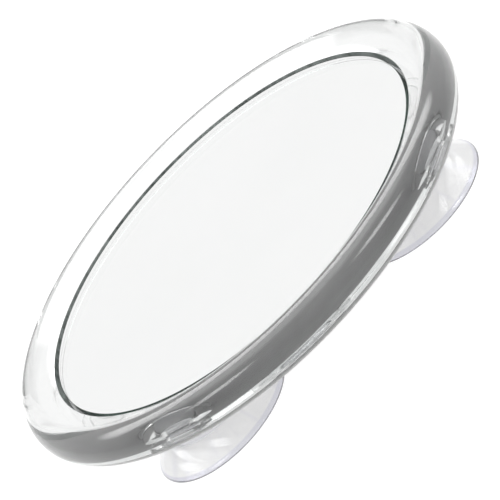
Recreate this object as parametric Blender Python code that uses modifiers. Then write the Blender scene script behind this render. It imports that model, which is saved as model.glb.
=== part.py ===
"""Round magnifying mirror in a thick clear acrylic frame, held to a wall by three suction cups.

Metres, +Z up. The mirror lies on its three cups and faces up. The origin is on the frame's
axis, in the plane that the three cup lips rest on. One cup is at +Y, the others 120 degrees on.
"""

import math

import bpy

# Frame
FRAME_RADIUS = 0.0856
RIM_WIDTH = 0.0144
CROWN_ROUND = 0.0064
CROWN_BLEND = 0.0016
CROWN_HEIGHT = 0.00405
RECESS_RIM_HEIGHT = 0.0006
RECESS_EDGE_ROUND = 0.0003
FOOT_ROUND = 0.0072
BACK_DEPTH = 0.0098
BACK_CURVE_RADIUS = 0.5000
WIDEST_DEPTH = 0.0025
EDGE_GAP = 0.0012

# Mirror glass and what lies behind it
GLASS_THICKNESS = 0.0030
GLASS_CURVE_RADIUS = 0.5000
GLASS_SEAM = 0.0003
COATING_THICKNESS = 0.0002
COATING_MARGIN = 0.0003
PAD_THICKNESS = 0.0015
PAD_MARGIN = 0.0003
PAD_HOLE_MARGIN = 0.0009
BOND_LINE = 0.0001

# Suction cups and their seats in the frame
CUP_COUNT = 3
CUP_INSET = 0.0359
CUP_FIRST_ANGLE = math.radians(90)
GLASS_STANDOFF = 0.0288
SPOT_FACE_HEIGHT = 0.0164
CUP_RADIUS = 0.0246
CUP_DEPTH = 0.0100
CUP_CENTRE_WALL = 0.0034
CUP_LIP_THICKNESS = 0.0009
CUP_LIP_WIDTH = 0.0012
SHOULDER_RADIUS = 0.0072
SHOULDER_FLARE = 0.0030
NECK_RADIUS = 0.0045
HEAD_RADIUS = 0.0070
HEAD_HEIGHT = 0.0014
HEAD_ROUND = 0.0005
SOCKET_RADIUS = 0.0092
SPOT_FACE_MARGIN = 0.0008
SEAT_THICKNESS = 0.0017
RUNNING_GAP = 0.0003

# Facets
DISC_STEPS = 72
CUP_STEPS = 32
CUTTER_SIDES = 40
CURVE_POINTS = 7
SKIRT_RINGS = 6
DISH_RINGS = 4
DOME_RINGS = 5
CROWN_RINGS = 3
MERGE_DISTANCE = 0.00001
CUT_OVERRUN = 0.0007
SMOOTH_ANGLE = math.radians(35)
QUARTER_TURN = math.radians(90)
FULL_TURN = math.radians(360)

# Radii that follow from the frame's
RECESS_RADIUS = FRAME_RADIUS - RIM_WIDTH
GLASS_RADIUS = RECESS_RADIUS - EDGE_GAP
GLASS_BACK_RADIUS = GLASS_RADIUS + GLASS_THICKNESS * GLASS_RADIUS / GLASS_CURVE_RADIUS
CUP_RING_RADIUS = FRAME_RADIUS - CUP_INSET
CROWN_RADIUS = FRAME_RADIUS - CROWN_ROUND
FOOT_RADIUS = FRAME_RADIUS - FOOT_ROUND
HOLE_RADIUS = NECK_RADIUS + RUNNING_GAP
SPOT_FACE_RADIUS = SHOULDER_RADIUS + SPOT_FACE_MARGIN
PAD_HOLE_RADIUS = SOCKET_RADIUS + PAD_HOLE_MARGIN

# Heights above the plane that the lips rest on
GLASS_EDGE_Z = GLASS_STANDOFF
BACK_EDGE_Z = GLASS_EDGE_Z - BACK_DEPTH
COATING_Z = GLASS_EDGE_Z - GLASS_THICKNESS - BOND_LINE
PAD_Z = COATING_Z - COATING_THICKNESS - BOND_LINE
FLOOR_Z = PAD_Z - PAD_THICKNESS - BOND_LINE
SEAT_Z = SPOT_FACE_HEIGHT + SEAT_THICKNESS
SHOULDER_Z = SPOT_FACE_HEIGHT - RUNNING_GAP
HEAD_BOTTOM_Z = SEAT_Z + RUNNING_GAP
HEAD_TOP_Z = HEAD_BOTTOM_Z + HEAD_HEIGHT


def clear_scene():
    for obj in list(bpy.data.objects):
        bpy.data.objects.remove(obj, do_unlink=True)


def new_collection(name):
    collection = bpy.data.collections.new(name)
    bpy.context.scene.collection.children.link(collection)
    return collection


def make_material(name, colour, roughness, metallic=0.0, transmission=0.0, ior=1.5):
    material = bpy.data.materials.new(name)
    material.use_nodes = True
    shader = material.node_tree.nodes["Principled BSDF"]
    shader.inputs["Base Color"].default_value = (*colour, 1.0)
    shader.inputs["Roughness"].default_value = roughness
    shader.inputs["Metallic"].default_value = metallic
    shader.inputs["Transmission Weight"].default_value = transmission
    shader.inputs["IOR"].default_value = ior
    return material


def arc(centre, radii, start, end, points=CURVE_POINTS):
    """Points (r, z) of an elliptical arc, both ends included. Angles rise from the outward side."""
    found = []
    for i in range(points + 1):
        angle = start + (end - start) * i / points
        found.append((centre[0] + radii[0] * math.cos(angle), centre[1] + radii[1] * math.sin(angle)))
    return found


def dish(edge_z, radius=GLASS_RADIUS):
    """Points (r, z) of the shared bowl, axis first. Its height is edge_z at the glass radius."""
    found = []
    for i in range(DISH_RINGS + 1):
        r = radius * i / DISH_RINGS
        found.append((r, dish_height(edge_z, r)))
    return found


def dish_height(edge_z, r):
    sag = math.sqrt(GLASS_CURVE_RADIUS**2 - r**2) - math.sqrt(GLASS_CURVE_RADIUS**2 - GLASS_RADIUS**2)
    return edge_z - sag


def turned(name, profile, material, collection, steps):
    """Turns a profile that runs from the axis at the top, down the outer side, to the axis again."""
    mesh = bpy.data.meshes.new(name)
    points = [(r, 0.0, z) for r, z in profile]
    mesh.from_pydata(points, [(i, i + 1) for i in range(len(points) - 1)], [])
    mesh.materials.append(material)
    obj = bpy.data.objects.new(name, mesh)
    collection.objects.link(obj)
    screw = obj.modifiers.new("turn", "SCREW")
    screw.axis = "Z"
    screw.angle = FULL_TURN
    screw.steps = steps
    screw.render_steps = steps
    screw.use_merge_vertices = True
    screw.merge_threshold = MERGE_DISTANCE
    screw.use_smooth_shade = True
    return obj


def smooth_by_angle(obj):
    """Rounds the shading of a finished piece and keeps its real edges sharp."""
    graph = bpy.context.evaluated_depsgraph_get()
    mesh = bpy.data.meshes.new_from_object(obj.evaluated_get(graph))
    mesh.shade_smooth()
    mesh.set_sharp_from_angle(angle=SMOOTH_ANGLE)
    obj.modifiers.clear()
    obj.data = mesh


def cup_places():
    """Each cup's (x, y) on the ring, with its turn about its own axis."""
    for i in range(CUP_COUNT):
        angle = CUP_FIRST_ANGLE + FULL_TURN * i / CUP_COUNT
        yield CUP_RING_RADIUS * math.cos(angle), CUP_RING_RADIUS * math.sin(angle), angle


def cutter(radius, bottom, top, place, collection):
    bpy.ops.mesh.primitive_cylinder_add(
        vertices=CUTTER_SIDES,
        radius=radius,
        depth=top - bottom,
        location=(place[0], place[1], (top + bottom) / 2),
        rotation=(0.0, 0.0, place[2]),
    )
    obj = bpy.context.object
    for old in list(obj.users_collection):
        old.objects.unlink(obj)
    collection.objects.link(obj)
    obj.display_type = "WIRE"
    obj.hide_render = True
    return obj


def cut(obj, tool):
    boolean = obj.modifiers.new(tool.name, "BOOLEAN")
    boolean.operation = "DIFFERENCE"
    boolean.object = tool
    boolean.solver = "EXACT"


def dome_height(r):
    """Height of the frame's convex back, which is lowest on the axis."""
    rise = math.sqrt(BACK_CURVE_RADIUS**2 - r**2) - math.sqrt(BACK_CURVE_RADIUS**2 - FOOT_RADIUS**2)
    return BACK_EDGE_Z - rise


def frame_profile():
    """Pan floor, recess wall, sloping front, crown, round outer wall and convex back."""
    rim_z = GLASS_EDGE_Z + RECESS_RIM_HEIGHT
    crown_z = GLASS_EDGE_Z + CROWN_HEIGHT
    widest_z = GLASS_EDGE_Z - WIDEST_DEPTH
    slope = (crown_z - rim_z) / (CROWN_RADIUS - RECESS_RADIUS - CROWN_BLEND / 2)
    ease = slope * CROWN_BLEND / 2
    points = dish(FLOOR_Z)
    points += [(RECESS_RADIUS, dish_height(FLOOR_Z, RECESS_RADIUS))]
    points += [(RECESS_RADIUS, rim_z - RECESS_EDGE_ROUND)]
    points += [(RECESS_RADIUS + RECESS_EDGE_ROUND, rim_z + RECESS_EDGE_ROUND * slope)]
    for i in range(CROWN_RINGS):
        left = 1 - i / CROWN_RINGS
        points.append((CROWN_RADIUS - CROWN_BLEND * left, crown_z - ease * left**2))
    outer = (CROWN_ROUND, crown_z - widest_z)
    points += arc((CROWN_RADIUS, widest_z), outer, QUARTER_TURN, 0.0)
    lower = (FOOT_ROUND, widest_z - BACK_EDGE_Z)
    points += arc((FOOT_RADIUS, widest_z), lower, 0.0, -QUARTER_TURN)[1:]
    for i in range(1, DOME_RINGS + 1):
        r = FOOT_RADIUS * (1 - i / DOME_RINGS)
        points.append((r, dome_height(r)))
    return points


def make_frame(material, parts, cutters):
    frame = turned("clear_frame", frame_profile(), material, parts, DISC_STEPS)
    for place in cup_places():
        cut(frame, cutter(SOCKET_RADIUS, SEAT_Z, FLOOR_Z + CUT_OVERRUN, place, cutters))
        cut(frame, cutter(HOLE_RADIUS, SPOT_FACE_HEIGHT - CUT_OVERRUN, SEAT_Z + CUT_OVERRUN, place, cutters))
        cut(frame, cutter(SPOT_FACE_RADIUS, 0.0, SPOT_FACE_HEIGHT, place, cutters))
    return frame


def layer_profile(edge_z, thickness, radius):
    """A bowl of even thickness with an upright edge."""
    return dish(edge_z, radius) + dish(edge_z - thickness, radius)[::-1]


def glass_profile():
    """The mirror's bowl. Its side is square to the curved face, with a small seam ground on it."""
    back_z = GLASS_EDGE_Z - GLASS_THICKNESS
    points = dish(GLASS_EDGE_Z, GLASS_RADIUS - GLASS_SEAM)
    points += [(GLASS_RADIUS, dish_height(GLASS_EDGE_Z, GLASS_RADIUS) - GLASS_SEAM)]
    points += [(GLASS_BACK_RADIUS, dish_height(back_z, GLASS_BACK_RADIUS) + GLASS_SEAM)]
    return points + dish(back_z, GLASS_BACK_RADIUS - GLASS_SEAM)[::-1]


def make_glass(material, parts):
    return turned("mirror_glass", glass_profile(), material, parts, DISC_STEPS)


def make_coating(material, parts):
    profile = layer_profile(COATING_Z, COATING_THICKNESS, GLASS_BACK_RADIUS - COATING_MARGIN)
    return turned("silvered_backing", profile, material, parts, DISC_STEPS)


def make_pad(material, parts, cutters):
    profile = layer_profile(PAD_Z, PAD_THICKNESS, RECESS_RADIUS - PAD_MARGIN)
    pad = turned("bonding_pad", profile, material, parts, DISC_STEPS)
    for place in cup_places():
        cut(pad, cutter(PAD_HOLE_RADIUS, SEAT_Z, GLASS_EDGE_Z, place, cutters))
    return pad


def skirt_height(r, inner_radius):
    """Height of the cup's hollow face above its lip plane."""
    return CUP_DEPTH * (1 - (r / inner_radius) ** 2)


def cup_profile():
    """Mushroom head, neck, shoulder and dished skirt of a cup, about its own axis."""
    inner_radius = CUP_RADIUS - CUP_LIP_WIDTH
    skirt_top = CUP_DEPTH + CUP_CENTRE_WALL
    points = [(0.0, HEAD_TOP_Z)]
    head_centre = (HEAD_RADIUS - HEAD_ROUND, HEAD_TOP_Z - HEAD_ROUND)
    points += arc(head_centre, (HEAD_ROUND, HEAD_ROUND), QUARTER_TURN, 0.0, 3)
    points += [(HEAD_RADIUS, HEAD_BOTTOM_Z), (NECK_RADIUS, HEAD_BOTTOM_Z)]
    points += [(NECK_RADIUS, SHOULDER_Z), (SHOULDER_RADIUS, SHOULDER_Z)]
    flare_r = SHOULDER_RADIUS + SHOULDER_FLARE
    flare_z = outer_height(flare_r, inner_radius, skirt_top)
    flare = (SHOULDER_FLARE, SHOULDER_FLARE)
    points += arc((flare_r, flare_z + SHOULDER_FLARE), flare, math.pi, QUARTER_TURN * 3, 4)
    skirt_width = CUP_RADIUS - flare_r
    for i in range(1, SKIRT_RINGS + 1):
        r = flare_r + skirt_width * i / SKIRT_RINGS
        points.append((r, outer_height(r, inner_radius, skirt_top)))
    points += [(CUP_RADIUS, 0.0), (inner_radius, 0.0)]
    for i in range(1, SKIRT_RINGS + 1):
        r = inner_radius * (1 - i / SKIRT_RINGS)
        points.append((r, skirt_height(r, inner_radius)))
    return points


def outer_height(r, inner_radius, top):
    """Height of the skirt's outer face, from its thick centre down to its thin lip."""
    return CUP_LIP_THICKNESS + (top - CUP_LIP_THICKNESS) * (1 - (r / CUP_RADIUS) ** 2)


def make_cups(material, parts):
    for number, place in enumerate(cup_places(), 1):
        cup = turned(f"suction_cup_{number}", cup_profile(), material, parts, CUP_STEPS)
        cup.location = (place[0], place[1], 0.0)


def main():
    clear_scene()
    parts = new_collection("suction_magnifying_mirror")
    cutters = new_collection("cutters")
    acrylic = make_material("clear_acrylic", (0.95, 0.97, 0.97), 0.03, transmission=1.0, ior=1.49)
    glass = make_material("float_glass", (0.90, 0.95, 0.92), 0.02, transmission=1.0, ior=1.52)
    silver = make_material("silver_coating", (0.93, 0.94, 0.94), 0.03, metallic=1.0)
    foam = make_material("grey_pad", (0.50, 0.51, 0.52), 0.80)
    vinyl = make_material("clear_vinyl", (0.93, 0.93, 0.98), 0.10, transmission=0.95, ior=1.53)
    make_frame(acrylic, parts, cutters)
    make_glass(glass, parts)
    make_coating(silver, parts)
    make_pad(foam, parts, cutters)
    make_cups(vinyl, parts)
    cutters.hide_render = True
    for obj in parts.objects:
        smooth_by_angle(obj)


main()
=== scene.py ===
import math
import bmesh
import bpy
from mathutils import Matrix, Vector


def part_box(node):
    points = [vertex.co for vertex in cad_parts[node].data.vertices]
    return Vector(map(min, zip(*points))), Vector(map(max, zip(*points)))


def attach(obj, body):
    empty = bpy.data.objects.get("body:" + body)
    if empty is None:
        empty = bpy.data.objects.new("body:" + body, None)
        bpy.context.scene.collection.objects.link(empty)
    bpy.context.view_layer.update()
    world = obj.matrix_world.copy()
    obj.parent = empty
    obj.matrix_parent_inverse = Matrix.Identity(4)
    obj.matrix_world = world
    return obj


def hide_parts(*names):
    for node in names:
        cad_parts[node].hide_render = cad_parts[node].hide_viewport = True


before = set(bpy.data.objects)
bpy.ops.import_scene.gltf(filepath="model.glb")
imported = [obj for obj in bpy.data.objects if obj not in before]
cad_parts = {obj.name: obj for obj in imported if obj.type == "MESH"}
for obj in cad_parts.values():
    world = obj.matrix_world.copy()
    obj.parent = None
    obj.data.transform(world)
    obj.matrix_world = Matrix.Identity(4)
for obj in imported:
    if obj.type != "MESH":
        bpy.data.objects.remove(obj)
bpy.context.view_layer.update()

mm = 0.001
print("frame loaded")


# sizes from the frame, in mm as all sizes of the object are

def cadSize(node):  # a CAD piece's lowest and highest corner, to the nearest micron
    return [[round(v / mm, 3) for v in corner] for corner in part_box(node)]


frameHigh = cadSize("clear_frame")[1]
cupLow, cupHigh = cadSize("suction_cup_1")
cupRing = (cupLow[1] + cupHigh[1]) / 2  # the first cup stands on the Y axis

def cupPlaces():
    for turn in range(3):
        angle = math.radians(90 + 120 * turn)
        yield cupRing * math.cos(angle), cupRing * math.sin(angle)


# helpers for turned pieces

def arcPoints(centre, radii, fromDeg, toDeg, count):
    points = []
    for i in range(count + 1):
        angle = math.radians(fromDeg + (toDeg - fromDeg) * i / count)
        points.append((centre[0] + radii[0] * math.cos(angle), centre[1] + radii[1] * math.sin(angle)))
    return points


def turnProfile(profile, steps):  # from the axis round the outside and back to the axis
    bm = bmesh.new()
    verts = [bm.verts.new((r * mm, 0.0, z * mm)) for r, z in profile]
    edges = [bm.edges.new(pair) for pair in zip(verts, verts[1:])]
    bmesh.ops.spin(
        bm, geom=verts + edges, cent=(0, 0, 0), axis=(0, 0, 1), angle=math.tau, steps=steps, use_merge=True)
    bmesh.ops.remove_doubles(bm, verts=bm.verts, dist=0.001 * mm)
    bmesh.ops.recalc_face_normals(bm, faces=bm.faces)
    return bm


def finishPiece(bm, name, materials, sharpDeg=35):
    mesh = bpy.data.meshes.new(name)
    bm.to_mesh(mesh)
    bm.free()
    mesh.shade_smooth()
    mesh.set_sharp_from_angle(angle=math.radians(sharpDeg))
    for material in materials:
        mesh.materials.append(material)
    piece = bpy.data.objects.new(name, mesh)
    bpy.context.scene.collection.objects.link(piece)
    return piece


def dishZ(edgeZ, r):  # the shallow bowl that the glass, its backing, the pad and the pan floor share
    bowl = mirrorGlass["curveRadius"]
    return edgeZ - math.sqrt(bowl**2 - r**2) + math.sqrt(bowl**2 - mirrorGlass["radius"] ** 2)


def dishPoints(edgeZ, radius, rings):
    return [(radius * i / rings, dishZ(edgeZ, radius * i / rings)) for i in range(rings + 1)]


def cutAway(piece, tool):
    boolean = piece.modifiers.new("cut", "BOOLEAN")
    boolean.operation = "DIFFERENCE"
    boolean.solver = "EXACT"
    boolean.object = tool
    graph = bpy.context.evaluated_depsgraph_get()
    mesh = bpy.data.meshes.new_from_object(piece.evaluated_get(graph))
    piece.modifiers.clear()
    piece.data = mesh
    bpy.data.objects.remove(tool)


# helpers for shader nodes: a value is a number, a colour or another node's socket

def setInputs(node, values):
    for label, value in values.items():
        node.inputs[label].default_value = value
    return node


def plug(tree, value, socket):
    if isinstance(value, bpy.types.NodeSocket):
        tree.links.new(value, socket)
    else:
        socket.default_value = value


def mathNode(tree, operation, first, second=0.0, clamp=False):
    node = tree.nodes.new("ShaderNodeMath")
    node.operation = operation
    node.use_clamp = clamp
    plug(tree, first, node.inputs[0])
    plug(tree, second, node.inputs[1])
    return node.outputs["Value"]


def vectorNode(tree, operation, first, second=(0, 0, 0)):
    node = tree.nodes.new("ShaderNodeVectorMath")
    node.operation = operation
    plug(tree, first, node.inputs[0])
    plug(tree, second, node.inputs[1])
    return node.outputs["Value" if operation == "LENGTH" else "Vector"]


def mixNode(tree, factor, first, second, kind="FLOAT"):
    node = tree.nodes.new("ShaderNodeMix")
    node.data_type = kind
    for label, value in (("Factor", factor), ("A", first), ("B", second)):
        plug(tree, value, node.inputs[label])
    return node.outputs["Result"]


def rampNode(tree, value, low, high, atLow=0.0, atHigh=1.0, kind="SMOOTHSTEP"):
    node = tree.nodes.new("ShaderNodeMapRange")
    node.interpolation_type = kind
    setInputs(node, {"From Min": low, "From Max": high, "To Min": atLow, "To Max": atHigh})
    plug(tree, value, node.inputs["Value"])
    return node.outputs["Result"]


def noiseNode(tree, vector, scale, detail, rough=0.5):
    node = setInputs(tree.nodes.new("ShaderNodeTexNoise"), {"Detail": detail, "Roughness": rough})
    plug(tree, scale, node.inputs["Scale"])
    plug(tree, vector, node.inputs["Vector"])
    return node.outputs["Fac"]


def bodyNoise(tree, scale, detail, rough=0.5, stretch=(1, 1, 1)):  # scale times stretch is features per mm
    place = tree.nodes.new("ShaderNodeTexCoord")
    mapping = setInputs(tree.nodes.new("ShaderNodeMapping"), {"Scale": [v / mm for v in stretch]})
    plug(tree, place.outputs["Object"], mapping.inputs["Vector"])
    return noiseNode(tree, mapping.outputs["Vector"], scale, detail, rough)


# shader groups: each gives masks and values that the materials share

def newGroup(name, inputs, outputs):
    tree = bpy.data.node_groups.new(name, "ShaderNodeTree")
    for label, value in inputs.items():
        socket = tree.interface.new_socket(name=label, in_out="INPUT", socket_type="NodeSocketFloat")
        socket.default_value = value
    for label in outputs:
        tree.interface.new_socket(name=label, in_out="OUTPUT", socket_type="NodeSocketFloat")
    return tree, tree.nodes.new("NodeGroupInput").outputs, tree.nodes.new("NodeGroupOutput").inputs


def makePolishWear():  # hairline scratches, specks of dust and the slow waves of a polished or moulded face
    inputs = {"Roughness": 0.0, "Scratches": 0.1, "Dust": 0.1, "Waves": 0.5}
    tree, given, result = newGroup("polishWear", inputs, ["Roughness", "Height"])
    across = bodyNoise(tree, scale=1.0, detail=3.0, stretch=(0.05, 3.2, 0.4))
    along = bodyNoise(tree, scale=1.0, detail=3.0, stretch=(2.7, 0.06, 0.4))
    across = rampNode(tree, across, low=0.70, high=0.78)
    along = rampNode(tree, along, low=0.71, high=0.79)
    hairs = mathNode(tree, "MULTIPLY", mathNode(tree, "MAXIMUM", across, along), given["Scratches"])
    specks = rampNode(tree, bodyNoise(tree, scale=2.6, detail=0.0), low=0.80, high=0.86)
    specks = mathNode(tree, "MULTIPLY", specks, given["Dust"])
    waves = mathNode(tree, "MULTIPLY", bodyNoise(tree, scale=0.07, detail=1.0), given["Waves"])
    wearShare, hairDepth = 0.5, 0.02
    wear = mathNode(tree, "MULTIPLY", mathNode(tree, "ADD", hairs, specks), wearShare)
    grooves = mathNode(tree, "MULTIPLY", hairs, hairDepth)
    plug(tree, mathNode(tree, "ADD", given["Roughness"], wear, clamp=True), result["Roughness"])
    plug(tree, mathNode(tree, "SUBTRACT", waves, grooves), result["Height"])
    return tree


def makeFineGrain():  # an even grain over slow, cloudy patches
    inputs = {"Grain Scale": 1.0, "Patch Scale": 0.08, "Patches": 0.5}
    tree, given, result = newGroup("fineGrain", inputs, ["Mask", "Height"])
    grain = bodyNoise(tree, given["Grain Scale"], detail=3.0, rough=0.6)
    patches = bodyNoise(tree, given["Patch Scale"], detail=3.0)
    grainMask, patchMask = [rampNode(tree, noise, low=0.3, high=0.7) for noise in (grain, patches)]
    plug(tree, mixNode(tree, given["Patches"], grainMask, patchMask), result["Mask"])
    plug(tree, grain, result["Height"])
    return tree


def makeToolMarks():  # upright streaks that a cutter leaves round a bored wall
    tree, given, result = newGroup("toolMarks", {"Pitch": 1.0, "Depth": 1.0}, ["Mask", "Height"])
    streaks = bodyNoise(tree, given["Pitch"], detail=4.0, rough=0.65, stretch=(0.8, 0.8, 0.08))
    chatter = bodyNoise(tree, scale=1.0, detail=2.0, stretch=(0.06, 0.06, 0.0))
    fine = rampNode(tree, streaks, low=0.30, high=0.68)
    slow = rampNode(tree, chatter, low=0.40, high=0.58)
    plug(tree, mixNode(tree, 0.5, fine, slow), result["Mask"])
    plug(tree, mathNode(tree, "MULTIPLY", streaks, given["Depth"]), result["Height"])
    return tree


polishWear = makePolishWear()
fineGrain = makeFineGrain()
toolMarks = makeToolMarks()


# materials

acrylicIor, glassIor, vinylIor = 1.49, 1.52, 1.53
black, white = (0, 0, 0, 1), (1, 1, 1, 1)

def newMaterial(name, values):  # values go on the shader's own sockets
    material = bpy.data.materials.new(name)
    material.use_nodes = True
    tree = material.node_tree
    return material, tree, setInputs(tree.nodes["Principled BSDF"], values)


def addGroup(tree, group, values):
    node = tree.nodes.new("ShaderNodeGroup")
    node.node_tree = group
    return setInputs(node, values).outputs


def addBump(tree, shader, height, strength, depth):  # depth in mm
    bump = setInputs(tree.nodes.new("ShaderNodeBump"), {"Strength": strength, "Distance": depth * mm})
    plug(tree, height, bump.inputs["Height"])
    plug(tree, bump.outputs["Normal"], shader.inputs["Normal"])


def addColours(tree, shader, mask, dark, pale):
    plug(tree, mixNode(tree, mask, (*dark, 1), (*pale, 1), "RGBA"), shader.inputs["Base Color"])


def addTint(tree, colour, density):  # colour that deepens with the thickness looked through
    tint = tree.nodes.new("ShaderNodeVolumeAbsorption")
    setInputs(tint, {"Color": (*colour, 1), "Density": density})
    plug(tree, tint.outputs["Volume"], tree.nodes["Material Output"].inputs["Volume"])


def polishedMaterial(name, ior, dark, pale, patchScale, wear, bumpStrength, bumpDepth):  # clear all through
    material, tree, shader = newMaterial(name, {"IOR": ior, "Transmission Weight": 1.0})
    worn = addGroup(tree, polishWear, wear)
    plug(tree, worn["Roughness"], shader.inputs["Roughness"])
    cloud = addGroup(tree, fineGrain, {"Grain Scale": 0.5, "Patch Scale": patchScale, "Patches": 0.8})
    addColours(tree, shader, cloud["Mask"], dark, pale)
    addBump(tree, shader, worn["Height"], bumpStrength, bumpDepth)
    return material


def clearAcrylic():
    material = polishedMaterial(
        "clearAcrylic", acrylicIor, dark=(0.835, 0.840, 0.838), pale=(0.865, 0.869, 0.867), patchScale=0.03,
        wear={"Roughness": 0.02, "Scratches": 0.10, "Dust": 0.16, "Waves": 1.0},
        bumpStrength=0.4, bumpDepth=0.05)
    addTint(material.node_tree, colour=(0.92, 0.925, 0.923), density=20.0)
    return material


def floatGlass():
    return polishedMaterial(
        "floatGlass", glassIor, dark=(0.990, 0.994, 0.992), pale=(0.998, 1.0, 0.999), patchScale=0.03,
        wear={"Roughness": 0.0, "Scratches": 0.03, "Dust": 0.05, "Waves": 0.1},
        bumpStrength=0.1, bumpDepth=0.02)


def cutEdge():  # the glass's ground side, which looks dark green
    values = {"Roughness": 0.05, "IOR": glassIor, "Transmission Weight": 1.0}
    material, tree, shader = newMaterial("cutEdge", values)
    grain = addGroup(tree, fineGrain, {"Grain Scale": 4.0, "Patch Scale": 0.3, "Patches": 0.3})
    addColours(tree, shader, grain["Mask"], dark=(0.03, 0.055, 0.045), pale=(0.18, 0.25, 0.22))
    addBump(tree, shader, grain["Height"], strength=0.2, depth=0.01)
    return material


def recessWallPaintedShade():  # the recess wall with the cutter's streaks, coloured near black as painted shade of the narrow gap round the glass
    values = {"Roughness": 0.35, "IOR": acrylicIor, "Transmission Weight": 0.25}
    material, tree, shader = newMaterial("recessWallPaintedShade", values)
    marks = addGroup(tree, toolMarks, {"Pitch": 1.0, "Depth": 1.0})
    # both colours are painted shade of the gap, mixed by the cutter's streaks
    addColours(tree, shader, marks["Mask"], dark=(0.022, 0.029, 0.026), pale=(0.19, 0.212, 0.205))
    addBump(tree, shader, marks["Height"], strength=0.3, depth=0.05)
    return material


def boredSocket():  # the cup sockets and their spot faces, clear but frosted by the cutter
    material, tree, shader = newMaterial("boredSocket", {"IOR": acrylicIor, "Transmission Weight": 1.0})
    marks = addGroup(tree, toolMarks, {"Pitch": 1.5, "Depth": 1.0})
    haze = rampNode(tree, marks["Mask"], low=0.0, high=1.0, atLow=0.06, atHigh=0.14, kind="LINEAR")
    plug(tree, haze, shader.inputs["Roughness"])
    addColours(tree, shader, marks["Mask"], dark=(0.86, 0.87, 0.87), pale=(0.95, 0.95, 0.95))
    addBump(tree, shader, marks["Height"], strength=0.2, depth=0.03)
    return material


def silverCoating():
    material, tree, shader = newMaterial("silverCoating", {"Metallic": 1.0, "Roughness": 0.0})
    cloud = addGroup(tree, fineGrain, {"Grain Scale": 0.4, "Patch Scale": 0.02, "Patches": 0.8})
    addColours(tree, shader, cloud["Mask"], dark=(0.918, 0.921, 0.920), pale=(0.928, 0.930, 0.929))
    return material


def backingPaint():
    material, tree, shader = newMaterial("backingPaint", {"Roughness": 0.55})
    grain = addGroup(tree, fineGrain, {"Grain Scale": 1.6, "Patch Scale": 0.1, "Patches": 0.4})
    addColours(tree, shader, grain["Mask"], dark=(0.90, 0.90, 0.91), pale=(0.95, 0.95, 0.96))
    addBump(tree, shader, grain["Height"], strength=0.4, depth=0.05)
    return material


def greyFoam():
    material, tree, shader = newMaterial("greyFoam", {"Roughness": 0.85})
    grain = addGroup(tree, fineGrain, {"Grain Scale": 2.4, "Patch Scale": 0.05, "Patches": 0.55})
    addColours(tree, shader, grain["Mask"], dark=(0.42, 0.42, 0.42), pale=(0.52, 0.52, 0.52))
    addBump(tree, shader, grain["Height"], strength=0.4, depth=0.1)
    return material


# a violet colour for painted shade at the lip, a darker line on the moulded ring, and the vinyl's cloudy
# streaks
cupShadeAndStreaks = {  # radii are shares of the cup's radius
    "colour": (0.72, 0.715, 0.82), "lipFrom": 0.955, "lipFull": 0.975,
    "ringAt": 0.595, "ringReach": 0.045, "ringFull": 0.012, "ringStrength": 0.45,
    "streakScale": 5.0, "streakDetail": 3.0, "streakFrom": 0.5, "streakFull": 0.7, "streakStrength": 0.25,
}

def cupShadeAndStreakMask(tree):  # painted shade, full at the lip and weaker on the moulded ring, with the vinyl's own streaks that run to the middle
    tone = cupShadeAndStreaks
    place = tree.nodes.new("ShaderNodeAttribute")
    place.attribute_name = "cupPlace"  # from the cup's own axis, 1 at the lip
    flat = vectorNode(tree, "MULTIPLY", place.outputs["Vector"], (1, 1, 0))
    reach = vectorNode(tree, "LENGTH", flat)
    # painted shade along the lip, where refraction gives a dark edge line
    lip = rampNode(tree, reach, tone["lipFrom"], tone["lipFull"])
    ring = mathNode(tree, "ABSOLUTE", mathNode(tree, "SUBTRACT", reach, tone["ringAt"]))
    ring = rampNode(tree, ring, tone["ringReach"], tone["ringFull"])
    ring = mathNode(tree, "MULTIPLY", ring, tone["ringStrength"])
    outwards = vectorNode(tree, "NORMALIZE", flat)
    streaks = noiseNode(tree, outwards, tone["streakScale"], tone["streakDetail"])
    streaks = rampNode(tree, streaks, tone["streakFrom"], tone["streakFull"])
    streaks = mathNode(tree, "MULTIPLY", streaks, tone["streakStrength"])
    return mathNode(tree, "MAXIMUM", mathNode(tree, "MAXIMUM", lip, ring), streaks)


def clearVinyl():
    material = polishedMaterial(
        "clearVinyl", vinylIor, dark=(0.92, 0.92, 0.925), pale=(1.0, 1.0, 1.0), patchScale=0.09,
        wear={"Roughness": 0.07, "Scratches": 0.3, "Dust": 0.3, "Waves": 1.0},
        bumpStrength=0.5, bumpDepth=0.12)
    tree = material.node_tree
    addTint(tree, colour=(0.875, 0.875, 0.885), density=60.0)
    baseColour = tree.nodes["Principled BSDF"].inputs["Base Color"]
    plain = baseColour.links[0].from_socket
    # mixes in the violet painted shade at the lip and ring, and the streaks
    plug(tree, mixNode(tree, cupShadeAndStreakMask(tree), plain, (*cupShadeAndStreaks["colour"], 1), "RGBA"), baseColour)
    return material


# mirror glass: the silver is on its own back face

mirrorGlass = {
    "radius": 70.0, "edgeZ": 28.8, "thickness": 3.0, "curveRadius": 500.0, "seam": 0.06, "backSeam": 0.02,
    "rings": 24, "steps": 360, "sideNormal": 0.9, "sharpDeg": 20,
}

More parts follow.
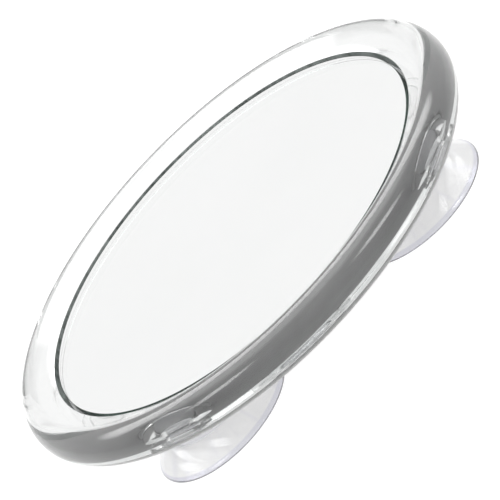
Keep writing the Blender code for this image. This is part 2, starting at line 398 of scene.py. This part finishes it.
def makeMirrorGlass(silver):
    size = mirrorGlass
    backEdgeZ = size["edgeZ"] - size["thickness"]
    spread = 1 + size["thickness"] / size["curveRadius"]  # the side is square to the bowl
    backRadius = size["radius"] * spread
    profile = dishPoints(size["edgeZ"], size["radius"] - size["seam"], size["rings"])
    profile += [(size["radius"], dishZ(size["edgeZ"], size["radius"]) - size["seam"])]
    profile += [(backRadius, dishZ(backEdgeZ, backRadius) + size["seam"])]
    profile += dishPoints(backEdgeZ, backRadius - size["backSeam"], size["rings"])[::-1]
    bm = turnProfile(profile, size["steps"])
    for face in bm.faces:
        if abs(face.normal.z) < size["sideNormal"]:
            face.material_index = 1
        elif face.normal.z < 0:
            face.material_index = 2
    piece = finishPiece(bm, "mirrorGlass", [floatGlass(), cutEdge(), silver], size["sharpDeg"])
    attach(piece, "mirror")
    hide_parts("mirror_glass")


silver = silverCoating()
makeMirrorGlass(silver)
print("mirror glass")


# silver and its paint

silverBacking = {
    "radius": 70.3, "edgeZ": 25.7, "thickness": 0.2, "rings": 24, "steps": 360, "frontNormal": 0.5,
}

def makeSilverBacking(silver):
    size = silverBacking
    front = dishPoints(size["edgeZ"], size["radius"], size["rings"])
    back = dishPoints(size["edgeZ"] - size["thickness"], size["radius"], size["rings"])
    bm = turnProfile(front + back[::-1], size["steps"])
    for face in bm.faces:
        if face.normal.z < size["frontNormal"]:
            face.material_index = 1
    piece = finishPiece(bm, "silverBacking", [silver, backingPaint()])
    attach(piece, "mirror")
    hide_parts("silvered_backing")


makeSilverBacking(silver)
print("silver")


# clear frame, cut for the three cup heads

clearFrame = {
    "radius": frameHigh[0] - 0.001, "widestZ": 26.3,  # a hair inside the CAD's box
    "crownRadius": 79.2, "crownZ": frameHigh[2], "crownBlend": 1.6, "blendSteps": 12,
    "recessRadius": 71.35, "rimZ": 29.4, "rimRound": 0.3, "rimSteps": 4, "floorZ": 23.8,
    "footRadius": 78.4, "backZ": 19.0, "bulgeRadius": 500.0, "backSteps": 40,
    "steps": 360, "rings": 24, "curveSteps": 24, "sharpDeg": 20, "wallNormal": 0.5, "wallReach": 0.1,
}
cupSocket = {  # a chamber for the cup's head, a hole for its neck and a spot face for its shoulder
    "chamberRadius": 9.2, "seatZ": 18.1, "holeRadius": 4.8, "spotRadius": 8.0, "spotZ": 16.4, "steps": 96,
    "chamberOver": 0.5, "holeOver": 1.0, "spotUnder": 8.0,  # how far the cutters reach past the acrylic
    "finishReach": 0.05, "finishAbove": 0.3,
}

def frontPoints(size):  # pan floor, recess wall, its rounded rim and the slope that blends into the crown
    slopeWidth = size["crownRadius"] - size["recessRadius"] - size["crownBlend"] / 2
    slope = (size["crownZ"] - size["rimZ"]) / slopeWidth
    rim = (size["recessRadius"] + size["rimRound"], size["rimZ"] - size["rimRound"])
    rimEndDeg = 90 + math.degrees(math.atan(slope))
    points = dishPoints(size["floorZ"], mirrorGlass["radius"], size["rings"])
    points += [(size["recessRadius"], dishZ(size["floorZ"], size["recessRadius"]))]
    points += arcPoints(rim, (size["rimRound"], size["rimRound"]), 180, rimEndDeg, size["rimSteps"])
    for i in range(size["blendSteps"]):
        left = 1 - i / size["blendSteps"]
        drop = slope * size["crownBlend"] / 2 * left**2
        points.append((size["crownRadius"] - size["crownBlend"] * left, size["crownZ"] - drop))
    return points


def wallPoints(size):  # from the crown round the widest place to the foot
    upper = (size["radius"] - size["crownRadius"], size["crownZ"] - size["widestZ"])
    lower = (size["radius"] - size["footRadius"], size["widestZ"] - size["backZ"])
    points = arcPoints((size["crownRadius"], size["widestZ"]), upper, 90, 0, size["curveSteps"])
    return points + arcPoints((size["footRadius"], size["widestZ"]), lower, 0, -90, size["curveSteps"])[1:]


def bulgeZ(size, r):  # the back, lowest on the axis
    ball = size["bulgeRadius"]
    return size["backZ"] + math.sqrt(ball**2 - size["footRadius"] ** 2) - math.sqrt(ball**2 - r**2)


def backPoints(size):
    radii = [size["footRadius"] * (1 - i / size["backSteps"]) for i in range(1, size["backSteps"] + 1)]
    return [(r, bulgeZ(size, r)) for r in radii]


def makeCutter(radius, bottom, top, x, y):
    bm = bmesh.new()
    bmesh.ops.create_cone(
        bm, cap_ends=True, segments=cupSocket["steps"], radius1=radius * mm, radius2=radius * mm,
        depth=(top - bottom) * mm, matrix=Matrix.Translation((x * mm, y * mm, (top + bottom) / 2 * mm)))
    return finishPiece(bm, "cutter", [])


def cutSocket(piece, x, y):
    cut = cupSocket
    chamberTop = clearFrame["floorZ"] + cut["chamberOver"]
    cutAway(piece, makeCutter(cut["chamberRadius"], cut["seatZ"], chamberTop, x, y))
    cutAway(piece, makeCutter(cut["spotRadius"], cut["spotZ"] - cut["spotUnder"], cut["spotZ"], x, y))
    holeBottom, holeTop = cut["spotZ"] - cut["holeOver"], cut["seatZ"] + cut["holeOver"]
    cutAway(piece, makeCutter(cut["holeRadius"], holeBottom, holeTop, x, y))


def finishSockets(piece):  # every face within a socket, but not the bulged back round it
    reach = (cupSocket["chamberRadius"] + cupSocket["finishReach"]) * mm
    lowest = (bulgeZ(clearFrame, cupRing) + cupSocket["finishAbove"]) * mm
    for face in piece.data.polygons:
        for x, y in cupPlaces():
            near = math.hypot(face.center.x - x * mm, face.center.y - y * mm) < reach
            if near and face.center.z > lowest:
                face.material_index = 2


def makeClearFrame():
    size = clearFrame
    bm = turnProfile(frontPoints(size) + wallPoints(size) + backPoints(size), size["steps"])
    for face in bm.faces:
        middle = face.calc_center_median()
        inRecess = math.hypot(middle.x, middle.y) < (size["recessRadius"] + size["wallReach"]) * mm
        if inRecess and abs(face.normal.z) < size["wallNormal"]:
            # these recess wall faces take the near-black painted shade
            face.material_index = 1
    piece = finishPiece(bm, "clearFrame", [clearAcrylic(), recessWallPaintedShade(), boredSocket()])
    for x, y in cupPlaces():
        cutSocket(piece, x, y)
    finishSockets(piece)
    piece.data.shade_smooth()
    piece.data.set_sharp_from_angle(angle=math.radians(size["sharpDeg"]))
    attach(piece, "mirror")
    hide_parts("clear_frame")


makeClearFrame()
print("clear frame")


# grey pad, 0.02 mm into the pan floor so that no air shows between the two

bondingPad = {
    "radius": 71.05, "edgeZ": 25.4, "thickness": 1.62, "holeRadius": 10.1, "cutOver": 3.0,
    "rings": 24, "steps": 360,
}

def makeBondingPad():
    size = bondingPad
    front = dishPoints(size["edgeZ"], size["radius"], size["rings"])
    back = dishPoints(size["edgeZ"] - size["thickness"], size["radius"], size["rings"])
    bm = turnProfile(front + back[::-1], size["steps"])
    piece = finishPiece(bm, "bondingPad", [greyFoam()])
    cutTop = size["edgeZ"] + size["cutOver"]
    for x, y in cupPlaces():
        cutAway(piece, makeCutter(size["holeRadius"], cupSocket["seatZ"], cutTop, x, y))
    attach(piece, "mirror")
    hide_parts("bonding_pad")


makeBondingPad()
print("pad")


# suction cups

suctionCup = {
    "radius": (cupHigh[0] - cupLow[0]) / 2, "depth": 10.0, "centreWall": 3.4,
    "lipThickness": 0.9, "lipWidth": 1.2, "lipRound": (0.4, 0.55), "lipFromDeg": 60, "lipSteps": 8,
    "shoulderRadius": 7.2, "shoulderZ": 16.1, "flare": 3.0, "flareSteps": 8, "neckRadius": 4.5,
    "headRadius": 7.0, "headBottomZ": 18.4, "headTopZ": cupHigh[2], "headRound": 0.5, "headSteps": 6,
    "ringRadius": 14.6, "ringHeight": 0.30, "ringWidth": 0.7, "steps": 160, "rings": 60,
}

def skirtZ(size, r):
    top = size["depth"] + size["centreWall"]
    return size["lipThickness"] + (top - size["lipThickness"]) * (1 - (r / size["radius"]) ** 2)


def cupOutside(size):  # mushroom head, neck, shoulder, skirt and rounded lip
    headRound, flare = size["headRound"], size["flare"]
    head = (size["headRadius"] - headRound, size["headTopZ"] - headRound)
    flareRadius = size["shoulderRadius"] + flare
    lipAcross, lipUp = [share * size["lipThickness"] for share in size["lipRound"]]
    skirtEnd = size["radius"] - lipAcross
    points = [(0.0, size["headTopZ"])]
    points += arcPoints(head, (headRound, headRound), 90, 0, size["headSteps"])
    points += [(size["headRadius"], size["headBottomZ"]), (size["neckRadius"], size["headBottomZ"])]
    points += [(size["neckRadius"], size["shoulderZ"]), (size["shoulderRadius"], size["shoulderZ"])]
    flareCentre = (flareRadius, skirtZ(size, flareRadius) + flare)
    points += arcPoints(flareCentre, (flare, flare), 180, 270, size["flareSteps"])
    for i in range(1, size["rings"] + 1):
        r = flareRadius + (skirtEnd - flareRadius) * i / size["rings"]
        points.append((r, skirtZ(size, r)))
    lip = (skirtEnd, lipUp)
    return points + arcPoints(lip, (lipAcross, lipUp), size["lipFromDeg"], -90, size["lipSteps"])


def cupHollow(size):  # the dished face, with the thin ring moulded on it
    inner = size["radius"] - size["lipWidth"]
    points = [(inner, 0.0)]
    for i in range(1, size["rings"] + 1):
        r = inner * (1 - i / size["rings"])
        ridge = size["ringHeight"] * math.exp(-(((r - size["ringRadius"]) / size["ringWidth"]) ** 2))
        points.append((r, size["depth"] * (1 - (r / inner) ** 2) - ridge))
    return points


def makeSuctionCup(number, x, y, material):
    size = suctionCup
    bm = turnProfile(cupOutside(size) + cupHollow(size), size["steps"])
    place = bm.verts.layers.float_vector.new("cupPlace")
    for vert in bm.verts:
        vert[place] = vert.co / (size["radius"] * mm)
    bmesh.ops.translate(bm, verts=bm.verts, vec=(x * mm, y * mm, 0))
    piece = finishPiece(bm, "suctionCup" + str(number), [material])
    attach(piece, "cup_" + str(number))
    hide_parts("suction_cup_" + str(number))


vinyl = clearVinyl()
for number, (x, y) in enumerate(cupPlaces(), 1):
    makeSuctionCup(number, x, y, vinyl)
print("suction cups")


# floor, lights and camera, in metres

studio = {
    "floorSize": 6.0, "skyStrength": 1.0,
    # the floor's glow where it is seen plainly, seen through clear pieces, and where it lights a matt one
    "floorGlow": 0.95, "floorGlowThrough": 0.76, "floorGlowDeep": 0.80,
    "softBoxes": [(-47.0, 41.0, -30.0), (-147.0, 42.0, 30.0)],  # turn, height and roll, in degrees
    "boxSize": (0.62, 0.34), "boxAway": 1.0, "boxGlow": 8.0, "boxFade": 0.3,
    "farBox": (86.0, 56.0, 0.0), "farSize": (2.6, 0.59), "farAway": 1.1, "farGlow": 6.4, "farFade": 0.55,
    "overheadPlace": (0.0, 0.45, 1.1), "overheadTurn": -4.0, "overheadSize": (2.2, 1.9),
    "overheadGlow": 3.2, "overheadFade": 0.5,
}

def glowMaterial(name, glow, fadeFrom):  # faded out from that share of the card's half size to its edge
    material, tree, shader = newMaterial(name, {
        "Base Color": black, "Specular IOR Level": 0.0, "Emission Color": white, "Emission Strength": glow})
    place = tree.nodes.new("ShaderNodeTexCoord")
    reach = vectorNode(tree, "LENGTH", place.outputs["Object"])
    fade = rampNode(tree, reach, low=fadeFrom, high=1.0, atLow=1.0, atHigh=0.0)
    side = tree.nodes.new("ShaderNodeNewGeometry")  # it glows towards the object and is clear from outside
    plug(tree, mathNode(tree, "MULTIPLY", fade, side.outputs["Backfacing"]), shader.inputs["Alpha"])
    return material


def addCard(name, size, matrix, material):
    bm = bmesh.new()
    bmesh.ops.create_grid(bm, x_segments=1, y_segments=1, size=1.0)
    card = finishPiece(bm, name, [material])
    card.matrix_world = matrix @ Matrix.Diagonal((size[0] / 2, size[1] / 2, 1, 1))


def turnedAway(place, distance):  # the card's front looks away from the object, and its back lights it
    turn, rise, roll = [math.radians(v) for v in place]
    away = Vector((math.cos(turn) * math.cos(rise), math.sin(turn) * math.cos(rise), math.sin(rise)))
    facing = away.to_track_quat("Z", "Y").to_matrix().to_4x4() @ Matrix.Rotation(roll, 4, "Z")
    return Matrix.Translation(away * distance) @ facing


def makeLights():
    softGlow = glowMaterial("softBox", studio["boxGlow"], studio["boxFade"])
    for place in studio["softBoxes"]:
        addCard("softBox", studio["boxSize"], turnedAway(place, studio["boxAway"]), softGlow)
    farGlow = glowMaterial("farBox", studio["farGlow"], studio["farFade"])
    addCard("farBox", studio["farSize"], turnedAway(studio["farBox"], studio["farAway"]), farGlow)
    overheadTurn = Matrix.Rotation(math.radians(studio["overheadTurn"]), 4, "Z")
    overhead = Matrix.Translation(studio["overheadPlace"]) @ overheadTurn
    overheadGlow = glowMaterial("overhead", studio["overheadGlow"], studio["overheadFade"])
    addCard("overhead", studio["overheadSize"], overhead, overheadGlow)


def floorMaterial():
    material, tree, shader = newMaterial("paleFloor", {
        "Roughness": 1.0, "Specular IOR Level": 0.0, "Emission Color": white})
    grain = addGroup(tree, fineGrain, {"Grain Scale": 0.8, "Patch Scale": 0.01, "Patches": 0.5})
    addColours(tree, shader, grain["Mask"], dark=(0.17, 0.17, 0.17), pale=(0.18, 0.18, 0.18))
    path = tree.nodes.new("ShaderNodeLightPath").outputs  # the depths count 0, 1, 2 and on
    through = mathNode(tree, "GREATER_THAN", path["Transmission Depth"], 0.5)
    deep = mathNode(tree, "GREATER_THAN", path["Diffuse Depth"], 0.5)
    glow = mixNode(tree, through, studio["floorGlow"], studio["floorGlowThrough"])
    plug(tree, mixNode(tree, deep, glow, studio["floorGlowDeep"]), shader.inputs["Emission Strength"])
    under = tree.nodes.new("ShaderNodeNewGeometry")  # a view from underneath looks through the floor
    plug(tree, mathNode(tree, "SUBTRACT", 1.0, under.outputs["Backfacing"]), shader.inputs["Alpha"])
    return material


def makeFloor():
    bm = bmesh.new()
    bmesh.ops.create_grid(bm, x_segments=1, y_segments=1, size=studio["floorSize"] / 2)
    finishPiece(bm, "floor", [floorMaterial()])


def makeSky():
    world = bpy.data.worlds.new("studio")
    bpy.context.scene.world = world
    world.use_nodes = True
    setInputs(world.node_tree.nodes["Background"], {"Color": white, "Strength": studio["skyStrength"]})


view = {  # the photo's, fitted to its outlines
    "location": (-0.05834, -0.77684, 0.36080), "turnDeg": (57.6436, 41.3246, -27.0247), "lens": 201.562,
    "nearest": 0.05, "farthest": 20,
}

def makeCamera():
    camera = bpy.data.objects.new("camera", bpy.data.cameras.new("camera"))
    bpy.context.scene.collection.objects.link(camera)
    camera.location = view["location"]
    camera.rotation_euler = [math.radians(v) for v in view["turnDeg"]]
    camera.data.lens = view["lens"]
    camera.data.clip_start = view["nearest"]
    camera.data.clip_end = view["farthest"]
    bpy.context.scene.camera = camera


def setRendering():
    scene = bpy.context.scene
    scene.view_settings.view_transform = "Standard"
    scene.cycles.max_bounces = 24
    scene.cycles.transmission_bounces = 24
    scene.cycles.glossy_bounces = 12
    scene.cycles.transparent_max_bounces = 16
    scene.cycles.use_denoising = True


makeFloor()
makeSky()
makeLights()
makeCamera()
setRendering()
print("studio")
